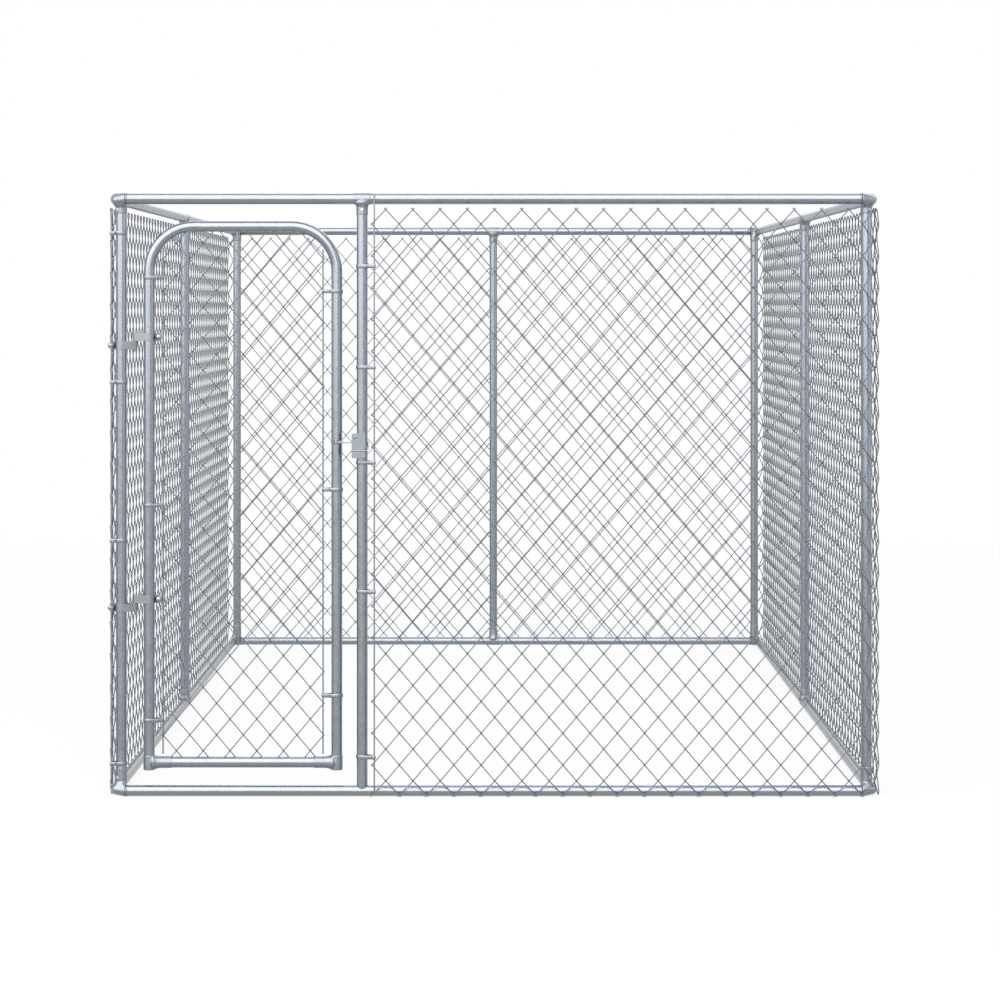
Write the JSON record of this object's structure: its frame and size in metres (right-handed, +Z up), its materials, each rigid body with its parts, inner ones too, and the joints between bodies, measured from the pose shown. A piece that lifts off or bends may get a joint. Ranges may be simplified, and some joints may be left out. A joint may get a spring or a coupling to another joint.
{
  "type": "dog kennel",
  "caption": "Roofless outdoor dog run: galvanised tube frame hung with chain-link fabric, with an arched hinged gate and a lift-up latch.",
  "frame": {"origin": "on the ground at the middle of the kennel's bounding box", "axes": "+X to the right of someone facing the gate, +Y from the gate to the rear, +Z up"},
  "size_m": [2.3472, 4.0939, 1.8305],
  "materials": {
    "galvanised_tube": "galvanised, satin blue-grey",
    "cast_fitting": "galvanised casting, duller than the tube",
    "fabric_wire": "galvanised wire, dull grey",
    "band_steel": "galvanised strip",
    "hardware": "galvanised pressed steel"
  },
  "bodies": {
    "frame": {"post_front_left": "galvanised_tube", "post_front_right": "galvanised_tube", "post_rear_left": "galvanised_tube", "post_rear_right": "galvanised_tube", "post_middle_left": "galvanised_tube", "post_middle_right": "galvanised_tube", "post_middle_rear": "galvanised_tube", "latch_post": "galvanised_tube", "rail_bottom_front": "galvanised_tube", "rail_bottom_rear": "galvanised_tube", "rail_bottom_left": "galvanised_tube", "rail_bottom_right": "galvanised_tube", "rail_top_front": "galvanised_tube", "rail_top_rear": "galvanised_tube", "rail_top_left": "galvanised_tube", "rail_top_right": "galvanised_tube", "corner_bottom_front_left": "cast_fitting", "corner_bottom_front_right": "cast_fitting", "corner_bottom_rear_left": "cast_fitting", "corner_bottom_rear_right": "cast_fitting", "corner_top_front_left": "cast_fitting", "corner_top_front_right": "cast_fitting", "corner_top_rear_left": "cast_fitting", "corner_top_rear_right": "cast_fitting", "tee_bottom_left": "cast_fitting", "tee_bottom_right": "cast_fitting", "tee_bottom_rear": "cast_fitting", "tee_top_left": "cast_fitting", "tee_top_right": "cast_fitting", "tee_top_rear": "cast_fitting", "tee_top_front": "cast_fitting", "fabric_front": "fabric_wire", "fabric_rear": "fabric_wire", "fabric_left": "fabric_wire", "fabric_right": "fabric_wire", "tension_bar_front": "band_steel", "tension_bar_left": "band_steel", "hinge_upper_post_leaf": "hardware", "hinge_upper_post_bolt": "hardware", "hinge_upper_pin": "hardware", "hinge_lower_post_leaf": "hardware", "hinge_lower_post_bolt": "hardware", "hinge_lower_pin": "hardware", "latch_bracket": "hardware", "latch_pivot": "hardware"},
    "gate": {"gate_arch": "galvanised_tube", "gate_bottom_rail": "galvanised_tube", "gate_tee_left": "cast_fitting", "gate_tee_right": "cast_fitting", "gate_fabric": "fabric_wire", "gate_tension_bar_left": "band_steel", "gate_tension_bar_right": "band_steel", "gate_striker": "hardware", "hinge_upper_gate_leaf": "hardware", "hinge_upper_gate_bolt": "hardware", "hinge_lower_gate_leaf": "hardware", "hinge_lower_gate_bolt": "hardware"},
    "latch": {"latch_catch": "hardware"}
  },
  "joints": [
    {"name": "gate_hinge", "type": "hinge", "parent": "frame", "child": "gate", "pos_m": [-1.08925, -1.99485, 0.98], "axis": [0, 0, -1], "range_deg": [0, 110]},
    {"name": "latch_lift", "type": "hinge", "parent": "frame", "child": "latch", "pos_m": [-0.41905, -2.04345, 1.091], "axis": [0, -1, 0], "range_deg": [0, 90]}
  ]
}
